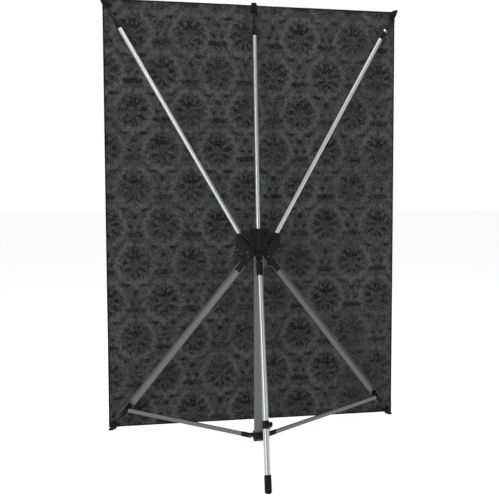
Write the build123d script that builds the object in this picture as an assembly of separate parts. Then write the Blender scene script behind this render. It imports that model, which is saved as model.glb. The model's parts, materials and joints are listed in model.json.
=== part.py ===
"""Portable folding backdrop stand with its cloth, in millimetres, +Z up.

Five members meet at a plastic hub: two side arms and a centre arm rise to the top of the cloth, two
side legs go down to its lower corners, and a rear leg props the stand from behind.  A column hangs
from the hub, and a runner on it spreads the three legs through braces.

The model is worked out with Y = 0 on the back face of the cloth, +Y behind it, and moved at the end
so that the origin is at the middle of the bounding box's bottom.  "Left" is +X, as seen by someone
who stands behind the stand and faces the back of the cloth.
"""
import os
from math import atan2, cos, degrees, hypot, radians, sin

from build123d import *

# ---- cloth ----
CLOTH_WIDTH = 1480.0
CLOTH_HEIGHT = 2134.0
CLOTH_THICK = 1.2
CLOTH_GAP = 8.0          # under the lower edge
TAB_SIDE = 52.0          # reinforcing tab at each corner and at the top centre
TAB_THICK = 1.0

# ---- main places ----
HUB_HEIGHT = 960.0
HUB_BACK = 245.0         # hub axis behind the cloth
REAR_FOOT_BACK = 700.0   # rear foot behind the cloth
ARM_TIP_INSET = 1.0      # tip inside the cloth's side edge
ARM_TIP_DROP = 3.0       # tip below the cloth's top edge
CENTRE_TIP_RISE = 9.0    # centre tip above the cloth's top edge
FOOT_INSET = 11.0        # side foot inside the cloth's side edge
TIP_CLEAR = 1.5          # between a tip or a foot and the tab in front of it

# ---- arms ----
ARM_DIA = 22.0
ARM_WALL = 1.5
ARM_PIVOT_R = 79.0       # from the hub axis
ARM_PIVOT_Z = 17.0       # above the hub's middle
ARM_BARREL_R = ARM_DIA / 2 + 4
ARM_BARREL_T = ARM_DIA + 1
ARM_TUBE_START = ARM_BARREL_R  # from the pivot
ARM_SPIGOT = 40.0        # of the knuckle, inside the tube
ROD_SHOWN = 176.0        # from the end of the arm tube to the tip
PLUG_LEN = 46.0          # black end fitting beyond the tube
PLUG_SPIGOT = 40.0
PLUG_LIP_T = 5.0
PLUG_BIG_R = ARM_DIA / 2 + 0.5
ROD_R = 6.0
ROD_END_R = 4.5
ROD_HIDDEN = 190.0       # rod inside the tube
ROD_CLEAR = 0.08
ROD_STRAIGHT = 4.0       # beyond the end fitting, before the taper
PLUG_SMALL_R = ROD_R + 3
FERRULE_R = ROD_R + 3.5
FERRULE_LEN = 14.0
FERRULE_CLEAR = 0.3
STOP_LEN = 16.0
STOP_GAP = 1.0           # between the rod's stop and the end fitting
STOP_CLEAR = 0.1
TIP_R = ROD_END_R + 2.5  # flange of the tip
TIP_LEN = 28.0
TIP_FLANGE = 1.2
TIP_FLANGE_T = 4.0
TIP_SOLID = 8.0          # cap beyond the rod's end
SLIDE_SPARE = 4.0        # left between the pieces when a rod is pushed in

# ---- side legs ----
LEG_PIVOT_R = 46.0
LEG_PIVOT_Z = -68.0
LEG_WIDTH = 34.0
LEG_DEPTH = 18.0
LEG_WALL = 1.8
LEG_START = 45.0         # from the pivot
LEG_PLUG_END = 90.0      # knuckle's plug inside the channel
SHOULDER_T = 6.0
LEG_PAST_JOINT = 36.0    # channel beyond the brace's joint
LEG_BLOCK_HALF = 22.0
LEG_PLUG_IN = 12.0
LEG_PLUG_LEN = 20.0
LEG_PLUG_COVER = 6.0
LEG_FOOT_R = 11.0
LEG_FOOT_LEN = 46.0
FOOT_SOLID = 20.0        # rubber beyond the end of the rod
SOCKET_START = 24.0      # leg socket, from the pivot
TONGUE_T = 16.0
TONGUE_R = 13.0
EAR_CLEAR = 0.4
EAR_T = 6.0
EAR_R = 14.0

# ---- rear leg ----
REAR_DIA = 25.0
REAR_WALL = 1.5
REAR_SOCKET_WALL = 2.5
REAR_SOCKET_END = 88.0
REAR_FOOT_WALL = 2.0
REAR_FOOT_LEN = 62.0
REAR_FOOT_SOLID = 30.0
REAR_BEAD_SHARE = 0.82   # crimped bead along the leg
REAR_BEAD_LEN = 6.0
CLAMP_HALF = 16.0

# ---- column, runner and braces ----
COLUMN_WIDTH = 46.0
COLUMN_DEPTH = 22.0
COLUMN_WALL = 2.0
COLUMN_FOOT = 12.0       # height of the column's lower end
COLUMN_TOP = -26.0       # from the hub's middle
CAP_LIP = 2.5
CAP_LIP_T = 5.0
CAP_IN = 16.0
COLUMN_LIP = 8.0         # rolled edge on each side of the channel's mouth
RUNNER_CLEAR = 0.4
RUNNER_WALL = 5.0
RUNNER_HALF = 15.0
RUNNER_Z = 32.0
RUNNER_EAR_T = 6.0
BRACE_JOINT_SHARE = 0.872  # along a side leg
BRACE_WIDTH = 20.0
BRACE_DEPTH = 10.0
BRACE_WALL = 1.2
BRACE_ROUND = 4.0        # rounded edges of the flattened tube
BRACE_END_LEN = 44.0
BRACE_TIP_LEN = 12.0
BRACE_SPIGOT = 30.0
JOINT_BOSS_T = 1.0       # boss on a leg that faces its brace
OPEN_GAP = 0.6           # between a brace and that boss
RUNNER_EAR_R = BRACE_WIDTH / 2 - 1
RUNNER_PIVOT_R = COLUMN_WIDTH / 2 + RUNNER_CLEAR + RUNNER_WALL + BRACE_WIDTH / 2
SIDE_FOLDED = 7.0        # degrees from vertical with the legs folded
REAR_FOLDED = 5.0

# ---- hub ----
WING_R = 105.0
WING_WALL = 6.1          # beside an arm's barrel
WING_TOP = 38.0
WING_LOW = -50.0
HUB_TOP = 64.0
HUB_LOW = -62.0
HUB_BODY_X = 42.0
HUB_BODY_FRONT = -26.0
HUB_BODY_BACK = 26.0
RIB_R = 14.0
BOSS_R = 9.0
BOSS_TOP = Vector(84, -10, 26)   # slanting boss, from the hub's middle
BOSS_FOOT = Vector(16, 20, -56)
EAR_ROOT = 10.0          # how far the ears reach inward beyond their plates
SLOT_CLEAR = 1.0
POCKET_IN = 28.0         # coring between the body and an arm's seat
POCKET_OUT = 56.0
POCKET_FLOOR = 8.0
CENTRE_SEAT = 14.0       # centre tube's lower end, below the hub's middle
SCREW_PLACES = [(96, -36), (20, 42), (50, -48)]  # in a wing: outward, up
SCREW_R = 2.0
SCREW_HEAD_R = 4.5
SCREW_HEAD_T = 3.0
SCREW_SINK = 1.0

# ---- pins ----
PIN_R = 4.0
SMALL_PIN_R = 3.0
PIN_CLEAR = 0.05
PIN_SHORT = 2.0          # end of an arm's pin below the wing's face
RIVET_HEAD_R = 6.5
RIVET_HEAD_T = 2.0
HEAD_CLEAR = 0.3
PASS = 1.0               # how far a cut runs past the face that it opens

# ---- worked out ----
WING_T = ARM_BARREL_T + 2 * (EAR_CLEAR + WING_WALL)
CLOTH_TOP = CLOTH_GAP + CLOTH_HEIGHT
TIP_BACK = TAB_THICK + TIP_CLEAR + TIP_R
ARM_TIP = Vector(CLOTH_WIDTH / 2 - ARM_TIP_INSET, TIP_BACK, CLOTH_TOP - ARM_TIP_DROP)
CENTRE_TIP = Vector(0, TIP_BACK, CLOTH_TOP + CENTRE_TIP_RISE)
FOOT = Vector(CLOTH_WIDTH / 2 - FOOT_INSET, TAB_THICK + TIP_CLEAR + LEG_FOOT_R, 0)
ARM_AZIMUTH = degrees(atan2(ARM_TIP.Y - HUB_BACK, ARM_TIP.X))
LEG_AZIMUTH = degrees(atan2(FOOT.Y - HUB_BACK, FOOT.X))
ARM_REACH = hypot(ARM_TIP.X, ARM_TIP.Y - HUB_BACK) - ARM_PIVOT_R
ARM_RISE = ARM_TIP.Z - HUB_HEIGHT - ARM_PIVOT_Z
ARM_SPREAD = degrees(atan2(ARM_REACH, ARM_RISE))
ARM_LENGTH = hypot(ARM_REACH, ARM_RISE)
LEG_TOP = HUB_HEIGHT + LEG_PIVOT_Z
LEG_REACH = hypot(FOOT.X, FOOT.Y - HUB_BACK) - LEG_PIVOT_R
LEG_SPREAD = degrees(atan2(LEG_REACH, LEG_TOP))
LEG_LENGTH = hypot(LEG_REACH, LEG_TOP)
REAR_REACH = REAR_FOOT_BACK - HUB_BACK - LEG_PIVOT_R
REAR_SPREAD = degrees(atan2(REAR_REACH, LEG_TOP))
REAR_LENGTH = hypot(REAR_REACH, LEG_TOP)
SIDE_JOINT = BRACE_JOINT_SHARE * LEG_LENGTH
SIDE_OFFSET = LEG_DEPTH / 2 + JOINT_BOSS_T + OPEN_GAP + BRACE_DEPTH / 2
REAR_OFFSET = REAR_DIA / 2 + REAR_FOOT_WALL + JOINT_BOSS_T + OPEN_GAP + BRACE_DEPTH / 2
PIVOT_STEP = LEG_PIVOT_R - RUNNER_PIVOT_R


def brace_run(joint, spread, below):
    """Outward and upward run from the runner's pivot to a point on a leg, `joint` from its pivot.

    `below` is how far the runner's pivot is under the legs' pivots.
    """
    return PIVOT_STEP + joint * sin(radians(spread)), below - joint * cos(radians(spread))


def runner_drop(joint, spread, folded):
    """How far the runner's pivot is below the legs' pivots once a leg is folded to that angle."""
    brace = hypot(*brace_run(joint, spread, LEG_TOP - RUNNER_Z))
    out = PIVOT_STEP + joint * sin(radians(folded))
    return joint * cos(radians(folded)) - (brace**2 - out**2) ** 0.5


FOLDED_DROP = runner_drop(SIDE_JOINT, LEG_SPREAD, SIDE_FOLDED)


def rear_joint():
    """Place on the rear leg where one brace length fits both with the legs spread and folded."""
    open_drop = LEG_TOP - RUNNER_Z
    lean = PIVOT_STEP * (sin(radians(REAR_FOLDED)) - sin(radians(REAR_SPREAD)))
    rise = open_drop * cos(radians(REAR_SPREAD)) - FOLDED_DROP * cos(radians(REAR_FOLDED))
    return (open_drop**2 - FOLDED_DROP**2) / (2 * (lean + rise))


REAR_JOINT = rear_joint()
ROD_TRAVEL = ROD_SHOWN - PLUG_LEN - FERRULE_LEN - TIP_LEN - SLIDE_SPARE  # of a rod, into its tube


# ---- helpers ----
def round_bar(radius, start, end):
    return Pos(0, 0, start) * Cylinder(radius, end - start, align=(Align.CENTER, Align.CENTER, Align.MIN))


def tube(outer, wall, start, end):
    return round_bar(outer, start, end) - round_bar(outer - wall, start - PASS, end + PASS)


def taper(low, high, start, end):
    return Pos(0, 0, start) * Cone(low, high, end - start, align=(Align.CENTER, Align.CENTER, Align.MIN))


def bar(x_size, y_size, start, end):
    return Pos(0, 0, (start + end) / 2) * Box(x_size, y_size, end - start)


def cross_bar(radius, x_from, x_to, at=0.0):
    """A round bar along X, `at` along Z."""
    cylinder = Cylinder(radius, x_to - x_from, align=(Align.CENTER, Align.CENTER, Align.MIN))
    return Pos(x_from, 0, at) * Rot(0, 90, 0) * cylinder


def soft_edges(shape, size, axis=Axis.Z):
    return fillet(shape.edges().filter_by(axis), size)


def outward(azimuth):
    return Vector(cos(radians(azimuth)), sin(radians(azimuth)), 0)


def sideways(azimuth):
    return Vector(-sin(radians(azimuth)), cos(radians(azimuth)), 0)


def member_frame(azimuth, radius, height, lean, up):
    """Frame at a pivot: Z along a member that leans outward from the vertical, X along its pin."""
    out = outward(azimuth)
    sign = 1 if up else -1
    along = out * sin(radians(lean)) + Vector(0, 0, sign * cos(radians(lean)))
    origin = Vector(0, HUB_BACK, 0) + out * radius + Vector(0, 0, height)
    return Plane(origin=origin, x_dir=sideways(azimuth), z_dir=along).location


ARM_FRAME = member_frame(ARM_AZIMUTH, ARM_PIVOT_R, HUB_HEIGHT + ARM_PIVOT_Z, ARM_SPREAD, True)
LEG_FRAME = member_frame(LEG_AZIMUTH, LEG_PIVOT_R, LEG_TOP, LEG_SPREAD, False)
REAR_FRAME = member_frame(90, LEG_PIVOT_R, LEG_TOP, REAR_SPREAD, False)
CENTRE_START = Vector(0, HUB_BACK, HUB_HEIGHT - CENTRE_SEAT)
CENTRE_FRAME = Plane(origin=CENTRE_START, x_dir=(1, 0, 0), z_dir=CENTRE_TIP - CENTRE_START).location
CENTRE_LENGTH = (CENTRE_TIP - CENTRE_START).length


def hub_frame(azimuth, height=HUB_HEIGHT):
    """Frame on the hub axis: X outward, Y along a pin, Z up."""
    return Pos(0, HUB_BACK, height) * Rot(0, 0, azimuth)


def brace_frame(azimuth, joint, spread):
    out, rise = brace_run(joint, spread, LEG_TOP - RUNNER_Z)
    return member_frame(azimuth, RUNNER_PIVOT_R, RUNNER_Z, degrees(atan2(out, rise)), True)


def brace_length(joint, spread):
    return hypot(*brace_run(joint, spread, LEG_TOP - RUNNER_Z))


def mirrored(shape):
    return mirror(shape, about=Plane.YZ)


# ---- arms, drawn along +Z from the pivot ----
def arm_knuckle():
    barrel = cross_bar(ARM_BARREL_R, -ARM_BARREL_T / 2, ARM_BARREL_T / 2)
    neck = bar(ARM_BARREL_T, ARM_DIA, 0, ARM_TUBE_START)
    spigot = round_bar(ARM_DIA / 2 - ARM_WALL, ARM_TUBE_START, ARM_TUBE_START + ARM_SPIGOT)
    bore = cross_bar(PIN_R + PIN_CLEAR, -ARM_BARREL_T, ARM_BARREL_T)
    return barrel + neck + spigot - bore


def end_plug(tube_end, inner_r):
    """Black fitting in the end of an arm tube, bored for the rod."""
    spigot = round_bar(inner_r, tube_end - PLUG_SPIGOT, tube_end)
    taper_start = tube_end + PLUG_LIP_T
    nose = taper(PLUG_BIG_R, PLUG_SMALL_R, taper_start, tube_end + PLUG_LEN)
    lip = round_bar(PLUG_BIG_R, tube_end, taper_start)
    bore_start = tube_end - PLUG_SPIGOT - PASS
    return spigot + lip + nose - round_bar(ROD_R + ROD_CLEAR, bore_start, tube_end + PLUG_LEN + PASS)


def rod_taper(tube_end, tip):
    """Tapered end of a rod, which its tip's hole follows."""
    return taper(ROD_R, ROD_END_R, tube_end + PLUG_LEN + ROD_STRAIGHT, tip - TIP_SOLID)


def rod(tube_end, tip):
    straight = round_bar(ROD_R, tube_end - ROD_HIDDEN, tube_end + PLUG_LEN + ROD_STRAIGHT)
    return straight + rod_taper(tube_end, tip)


def rod_stop(tube_end, inner_r):
    """Collar on the rod inside the tube, which the end fitting stops."""
    end = tube_end - PLUG_SPIGOT - STOP_GAP
    start = end - STOP_LEN
    return round_bar(inner_r - STOP_CLEAR, start, end) - round_bar(ROD_R, start - PASS, end + PASS)


def tip_cap(tube_end, tip):
    """Moulded cap over the rod's end, with a flange that the cloth's pocket sits on."""
    start = tip - TIP_LEN
    body_r = TIP_R - TIP_FLANGE
    cap = round_bar(body_r, start, tip) + round_bar(TIP_R, start, start + TIP_FLANGE_T)
    nose = fillet(cap.edges().sort_by(Axis.Z)[-1], 0.8 * body_r)
    return nose - rod_taper(tube_end, tip)


def ferrule(tube_end):
    """Bright rounded ring at the end fitting's mouth."""
    start = tube_end + PLUG_LEN
    ring = round_bar(FERRULE_R, start, start + FERRULE_LEN)
    ring = fillet(ring.edges(), 0.6 * FERRULE_LEN / 2)
    return ring - round_bar(ROD_R + FERRULE_CLEAR, start - PASS, start + FERRULE_LEN + PASS)


def arm_pieces(prefix, frame, length, tube_start, with_ferrule):
    tube_end = length - ROD_SHOWN
    inner = ARM_DIA / 2 - ARM_WALL
    pieces = {
        f"{prefix}_tube": tube(ARM_DIA / 2, ARM_WALL, tube_start, tube_end),
        f"{prefix}_end_plug": end_plug(tube_end, inner),
        f"{prefix}_rod": rod(tube_end, length),
        f"{prefix}_rod_stop": rod_stop(tube_end, inner),
        f"{prefix}_tip_cap": tip_cap(tube_end, length),
    }
    if with_ferrule:
        pieces[f"{prefix}_ferrule"] = ferrule(tube_end)
    return {name: frame * shape for name, shape in pieces.items()}


# ---- legs, drawn along +Z from the pivot towards the foot ----
def tongue():
    half = TONGUE_T / 2
    return cross_bar(TONGUE_R, -half, half) + bar(TONGUE_T, 2 * TONGUE_R, 0, LEG_START)


def pin_bore():
    return cross_bar(PIN_R + PIN_CLEAR, -TONGUE_T, TONGUE_T)


def leg_knuckle():
    """Tongue at the hub, a shoulder that meets the channel's end, and a plug inside the channel."""
    shoulder = soft_edges(bar(LEG_DEPTH, LEG_WIDTH, LEG_START - SHOULDER_T, LEG_START), 2)
    return tongue() + shoulder + channel_filling(LEG_START, LEG_PLUG_END) - pin_bore()


def leg_channel(end):
    """U section, open towards the rear."""
    outer = bar(LEG_DEPTH, LEG_WIDTH, LEG_START, end)
    hollow = bar(LEG_DEPTH, LEG_WIDTH - 2 * LEG_WALL, LEG_START - PASS, end + PASS)
    return outer - Pos(LEG_WALL, 0, 0) * hollow


def channel_filling(start, end):
    """Bar that fills a leg's channel, flush with its open side."""
    filling = bar(LEG_DEPTH - LEG_WALL, LEG_WIDTH - 2 * LEG_WALL, start, end)
    return Pos(LEG_WALL / 2, 0, 0) * filling


def leg_plug(end):
    """Black end fitting: it fills the channel's end and grips the foot's rod."""
    cover_end = end + LEG_PLUG_COVER
    cover = soft_edges(bar(LEG_DEPTH + 1, LEG_WIDTH + 1, end, cover_end), 3)
    nose = taper(LEG_DEPTH / 2, ROD_R + 2, cover_end, end + LEG_PLUG_LEN)
    bore = round_bar(ROD_R, end - LEG_PLUG_IN, end + LEG_PLUG_LEN + PASS)
    return channel_filling(end - LEG_PLUG_IN, end) + cover + nose - bore


def above_floor(frame, shape):
    """Places a foot and cuts it flat on the floor."""
    span = 3 * CLOTH_WIDTH
    return (frame * shape) & (Pos(0, 0, HUB_HEIGHT / 2) * Box(span, span, HUB_HEIGHT))


def leg_foot():
    start = LEG_LENGTH - LEG_FOOT_LEN
    sleeve = round_bar(LEG_FOOT_R, start, LEG_LENGTH + LEG_FOOT_LEN)
    sleeve = fillet(sleeve.edges().sort_by(Axis.Z)[0], 2)
    return sleeve - round_bar(ROD_R, start - PASS, LEG_LENGTH - FOOT_SOLID)


def leg_brace_block():
    """Black block riveted in the channel, with a boss that faces the brace."""
    block = channel_filling(SIDE_JOINT - LEG_BLOCK_HALF, SIDE_JOINT + LEG_BLOCK_HALF)
    face = LEG_DEPTH / 2
    return block + cross_bar(BRACE_WIDTH / 2 - 1, face, face + JOINT_BOSS_T, SIDE_JOINT)


def leg_pieces(side):
    end = SIDE_JOINT + LEG_PAST_JOINT
    prefix = f"leg_{side}"
    pieces = {
        f"{prefix}_knuckle": leg_knuckle(),
        f"{prefix}_channel": leg_channel(end),
        f"{prefix}_end_plug": leg_plug(end),
        f"{prefix}_rod": round_bar(ROD_R, end - LEG_PLUG_IN, LEG_LENGTH - FOOT_SOLID),
        f"{prefix}_brace_block": leg_brace_block(),
    }
    placed = {name: LEG_FRAME * shape for name, shape in pieces.items()}
    placed[f"{prefix}_foot"] = above_floor(LEG_FRAME, leg_foot())
    return placed


def rear_knuckle():
    outer = REAR_DIA / 2 + REAR_SOCKET_WALL
    socket = round_bar(outer, SOCKET_START, REAR_SOCKET_END)
    socket = fillet(socket.edges(), 1.2)
    return tongue() + socket - round_bar(REAR_DIA / 2, LEG_START, REAR_SOCKET_END + PASS) - pin_bore()


def rear_tube():
    outer = REAR_DIA / 2
    bead_at = REAR_BEAD_SHARE * REAR_LENGTH
    bead = tube(outer + REAR_WALL / 3, REAR_WALL, bead_at, bead_at + REAR_BEAD_LEN)
    return tube(outer, REAR_WALL, LEG_START, REAR_LENGTH - REAR_FOOT_SOLID) + bead


def rear_foot():
    outer = REAR_DIA / 2 + REAR_FOOT_WALL
    start = REAR_LENGTH - REAR_FOOT_LEN
    sleeve = round_bar(outer, start, REAR_LENGTH + REAR_FOOT_LEN)
    sleeve = fillet(sleeve.edges().sort_by(Axis.Z)[0], 0.75 * REAR_FOOT_WALL)
    return sleeve - round_bar(REAR_DIA / 2, start - PASS, REAR_LENGTH - REAR_FOOT_SOLID)


def rear_clamp():
    """Band round the rear leg, with a boss that faces its brace."""
    outer = REAR_DIA / 2 + REAR_FOOT_WALL
    low, high = REAR_JOINT - CLAMP_HALF, REAR_JOINT + CLAMP_HALF
    band = round_bar(outer, low, high)
    boss = cross_bar(BRACE_WIDTH / 2 - 1, 0, outer + JOINT_BOSS_T, REAR_JOINT)
    return band + boss - round_bar(REAR_DIA / 2, low - PASS, high + PASS)


def rear_leg_pieces():
    return {
        "leg_rear_knuckle": REAR_FRAME * rear_knuckle(),
        "leg_rear_tube": REAR_FRAME * rear_tube(),
        "leg_rear_clamp": REAR_FRAME * rear_clamp(),
        "leg_rear_foot": above_floor(REAR_FRAME, rear_foot()),
    }


# ---- braces, drawn along +Z from the runner's pivot ----
def brace_filling(start, end):
    """Bar that fills a brace's flattened tube."""
    filling = bar(BRACE_DEPTH - 2 * BRACE_WALL, BRACE_WIDTH - 2 * BRACE_WALL, start, end)
    return soft_edges(filling, BRACE_ROUND - BRACE_WALL)


def brace_tube(length):
    outer = soft_edges(bar(BRACE_DEPTH, BRACE_WIDTH, BRACE_END_LEN, length - BRACE_TIP_LEN), BRACE_ROUND)
    return outer - brace_filling(0, length)


def brace_end():
    """Black eye at the runner, with a spigot inside the brace tube."""
    half = BRACE_DEPTH / 2
    eye = cross_bar(BRACE_WIDTH / 2, -half, half) + bar(BRACE_DEPTH, BRACE_WIDTH, 0, BRACE_END_LEN)
    spigot = brace_filling(BRACE_END_LEN - PASS, BRACE_END_LEN + BRACE_SPIGOT)
    return eye + spigot - cross_bar(SMALL_PIN_R + PIN_CLEAR, -BRACE_DEPTH, BRACE_DEPTH)


def brace_tip(length):
    """Black end at the leg, with its rivet."""
    half = BRACE_DEPTH / 2
    start = length - BRACE_TIP_LEN
    spigot = brace_filling(start - BRACE_SPIGOT, start + PASS)
    eye = cross_bar(BRACE_WIDTH / 2, -half, half, length) + bar(BRACE_DEPTH, BRACE_WIDTH, start, length)
    return eye + spigot + cross_bar(RIVET_HEAD_R, half, half + RIVET_HEAD_T, length)


def brace_pieces(side, azimuth, joint, spread, offset):
    frame = brace_frame(azimuth, joint, spread) * Pos(offset, 0, 0)
    length = brace_length(joint, spread)
    return {
        f"brace_{side}_eye": frame * brace_end(),
        f"brace_{side}_tube": frame * brace_tube(length),
        f"brace_{side}_tip": frame * brace_tip(length),
    }


# ---- column and runner ----
def column_channel():
    """Wide U section, open towards the front, with a rolled lip along each edge."""
    low, high = COLUMN_FOOT, HUB_HEIGHT + COLUMN_TOP
    outer = bar(COLUMN_WIDTH, COLUMN_DEPTH, low, high)
    inside = COLUMN_WIDTH - 2 * COLUMN_WALL, COLUMN_DEPTH - 2 * COLUMN_WALL
    hollow = bar(*inside, low - PASS, high + PASS)
    mouth = bar(COLUMN_WIDTH - 2 * COLUMN_LIP, COLUMN_DEPTH, low - PASS, high + PASS)
    mouth = Pos(0, -COLUMN_DEPTH / 2, 0) * mouth
    return Pos(0, HUB_BACK, 0) * (soft_edges(outer, COLUMN_WALL) - hollow - mouth)


def column_cap():
    """Plug in the column's lower end; its lip stops the runner."""
    inside = COLUMN_WIDTH - 2 * COLUMN_WALL, COLUMN_DEPTH - 2 * COLUMN_WALL
    inner = bar(*inside, COLUMN_FOOT, COLUMN_FOOT + CAP_IN)
    outside = COLUMN_WIDTH + 2 * CAP_LIP, COLUMN_DEPTH + 2 * CAP_LIP
    lip = bar(*outside, COLUMN_FOOT - CAP_LIP_T, COLUMN_FOOT)
    return Pos(0, HUB_BACK, 0) * (inner + soft_edges(lip, 3))


def runner_ear(azimuth, offset):
    """Lug beside a brace's eye; its face is the pin's shoulder."""
    face = offset - BRACE_DEPTH / 2 - EAR_CLEAR
    lug = Box(RUNNER_PIVOT_R, RUNNER_EAR_T, 2 * RUNNER_EAR_R)
    nose = Pos(RUNNER_PIVOT_R / 2, 0, 0) * Rot(90, 0, 0) * Cylinder(RUNNER_EAR_R, RUNNER_EAR_T)
    middle = Pos(RUNNER_PIVOT_R / 2, face - RUNNER_EAR_T / 2, 0)
    return hub_frame(azimuth, RUNNER_Z) * middle * (lug + nose)


def runner():
    low, high = RUNNER_Z - RUNNER_HALF, RUNNER_Z + RUNNER_HALF
    around = 2 * (RUNNER_CLEAR + RUNNER_WALL)
    outer = bar(COLUMN_WIDTH + around, COLUMN_DEPTH + around, low, high)
    slack = 2 * RUNNER_CLEAR
    bore = bar(COLUMN_WIDTH + slack, COLUMN_DEPTH + slack, low - PASS, high + PASS)
    side_ear = runner_ear(LEG_AZIMUTH, SIDE_OFFSET)
    body = Pos(0, HUB_BACK, 0) * soft_edges(outer, RUNNER_WALL)
    body = body + side_ear + mirrored(side_ear) + runner_ear(90, REAR_OFFSET)
    for pin in runner_pin_shafts():
        body = body - pin
    return body - Pos(0, HUB_BACK, 0) * bore


def runner_pin(azimuth, offset, joint, spread):
    """Pin through an ear and a brace's eye, with a head beyond the eye."""
    outer = BRACE_DEPTH / 2 + HEAD_CLEAR
    inner = -BRACE_DEPTH / 2 - EAR_CLEAR - RUNNER_EAR_T
    shaft = cross_bar(SMALL_PIN_R, inner, outer)
    head = cross_bar(RIVET_HEAD_R, outer, outer + RIVET_HEAD_T)
    frame = brace_frame(azimuth, joint, spread) * Pos(offset, 0, 0)
    return frame * shaft, frame * head


def runner_pin_shafts():
    left = runner_pin(LEG_AZIMUTH, SIDE_OFFSET, SIDE_JOINT, LEG_SPREAD)[0]
    rear = runner_pin(90, REAR_OFFSET, REAR_JOINT, REAR_SPREAD)[0]
    return [left, mirrored(left), rear]


def runner_pins():
    left = Part() + list(runner_pin(LEG_AZIMUTH, SIDE_OFFSET, SIDE_JOINT, LEG_SPREAD))
    rear = Part() + list(runner_pin(90, REAR_OFFSET, REAR_JOINT, REAR_SPREAD))
    return Compound(children=[left, mirrored(left), rear])


# ---- hub ----
def wing_outline():
    """Side view of one wing: outward is X, up is Y."""
    step = LEG_PIVOT_R + EAR_R
    points = [
        (0, HUB_TOP),
        (0, HUB_LOW),
        (step, HUB_LOW),
        (step + 6, WING_LOW),
        (WING_R, WING_LOW + 4),
        (WING_R, WING_TOP),
    ]
    return make_face(Polyline(points, close=True))


def wing(azimuth):
    solid = extrude(Plane.XZ * wing_outline(), WING_T / 2, both=True)
    outer_edges = solid.edges().filter_by(Axis.Y).sort_by(Axis.X)[-2:]
    solid = fillet(outer_edges, 6)
    return hub_frame(azimuth) * solid


def swing_room(half, lean, far, thickness):
    """Room for a bar of half-width `half` that swings from upright outward, drawn upward."""
    lean = radians(lean)
    side_x, side_z = half * cos(lean), -half * sin(lean)
    end_x, end_z = far * sin(lean) + side_x, far * cos(lean) + side_z
    points = [(-half, 0), (-half, far), (end_x, far), (end_x, end_z), (side_x, side_z)]
    return extrude(Plane.XZ * make_face(Polyline(points, close=True)), thickness / 2, both=True)


def arm_slot():
    """Room for a side arm from spread to upright, open at the top of the wing."""
    slot_t = ARM_BARREL_T + 2 * EAR_CLEAR
    fan = swing_room(ARM_DIA / 2 + SLOT_CLEAR, ARM_SPREAD, 2 * (HUB_TOP - HUB_LOW), slot_t)
    round_seat = Rot(90, 0, 0) * Cylinder(ARM_BARREL_R + SLOT_CLEAR, slot_t)
    return hub_frame(ARM_AZIMUTH) * Pos(ARM_PIVOT_R, 0, ARM_PIVOT_Z) * (fan + round_seat)


def wing_pocket():
    """Coring inside a wing, between the body and the arm's seat."""
    low = WING_LOW + POCKET_FLOOR
    pocket = Box(POCKET_OUT - POCKET_IN, WING_T - 2 * WING_WALL, WING_TOP - low)
    return hub_frame(ARM_AZIMUTH) * Pos((POCKET_IN + POCKET_OUT) / 2, 0, (low + WING_TOP) / 2) * pocket


def leg_ears(azimuth):
    """Two plates under the hub that hold a leg's tongue."""
    across = TONGUE_T + 2 * (EAR_CLEAR + EAR_T)
    plate = Rot(90, 0, 0) * Cylinder(EAR_R, across)
    height = HUB_LOW + EAR_R + 4 - LEG_PIVOT_Z
    root = Pos(-EAR_ROOT, 0, height / 2) * Box(2 * (EAR_R + EAR_ROOT), across, height)
    return hub_frame(azimuth) * Pos(LEG_PIVOT_R, 0, LEG_PIVOT_Z) * (plate + root)


def tongue_room(azimuth, spread):
    """Space that a tongue sweeps between the ears."""
    slot_t = TONGUE_T + 2 * EAR_CLEAR
    half = TONGUE_R + SLOT_CLEAR
    room = Rot(90, 0, 0) * Cylinder(half, slot_t)
    fan = mirror(swing_room(half, spread, LEG_START, slot_t), about=Plane.XY)
    return hub_frame(azimuth) * Pos(LEG_PIVOT_R, 0, LEG_PIVOT_Z) * (room + fan)


def hub_pin(azimuth, radius, height, half_length):
    pin = Pos(radius, 0, height) * Rot(90, 0, 0) * Cylinder(PIN_R, 2 * half_length)
    return hub_frame(azimuth) * pin


def arm_pins():
    left = hub_pin(ARM_AZIMUTH, ARM_PIVOT_R, ARM_PIVOT_Z, WING_T / 2 - PIN_SHORT)
    return [left, mirrored(left)]


def leg_pins():
    half = TONGUE_T / 2 + EAR_CLEAR + EAR_T
    left = hub_pin(LEG_AZIMUTH, LEG_PIVOT_R, LEG_PIVOT_Z, half)
    return [left, mirrored(left), hub_pin(90, LEG_PIVOT_R, LEG_PIVOT_Z, half)]


def along_screw(place, shape):
    """Moves a shape drawn along +Z to a screw's place, pointing out of the hub's rear face."""
    return hub_frame(ARM_AZIMUTH) * Pos(place[0], 0, place[1]) * Rot(-90, 0, 0) * shape


def screw(place):
    """Screw along a wing's thickness, its head at the rear."""
    head_top = WING_T / 2 - SCREW_SINK
    head_low = head_top - SCREW_HEAD_T
    shaft = round_bar(SCREW_R, WING_WALL - WING_T / 2, head_low)
    return along_screw(place, shaft + round_bar(SCREW_HEAD_R, head_low, head_top))


def screw_well(place):
    """Counterbore from the screw's head out through the rear face."""
    head_low = WING_T / 2 - SCREW_SINK - SCREW_HEAD_T
    return along_screw(place, round_bar(SCREW_HEAD_R + HEAD_CLEAR, head_low, 2 * WING_T))


def behind_parting():
    """Everything behind the hub's V-shaped parting line."""
    far = 3 * WING_R
    tip = outward(ARM_AZIMUTH) * far
    points = [(0, 0), (tip.X, tip.Y), (tip.X, far), (-tip.X, far), (-tip.X, tip.Y)]
    zone = extrude(make_face(Polyline(points, close=True)), 2 * far)
    return Pos(0, HUB_BACK, HUB_HEIGHT - far) * zone


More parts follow.
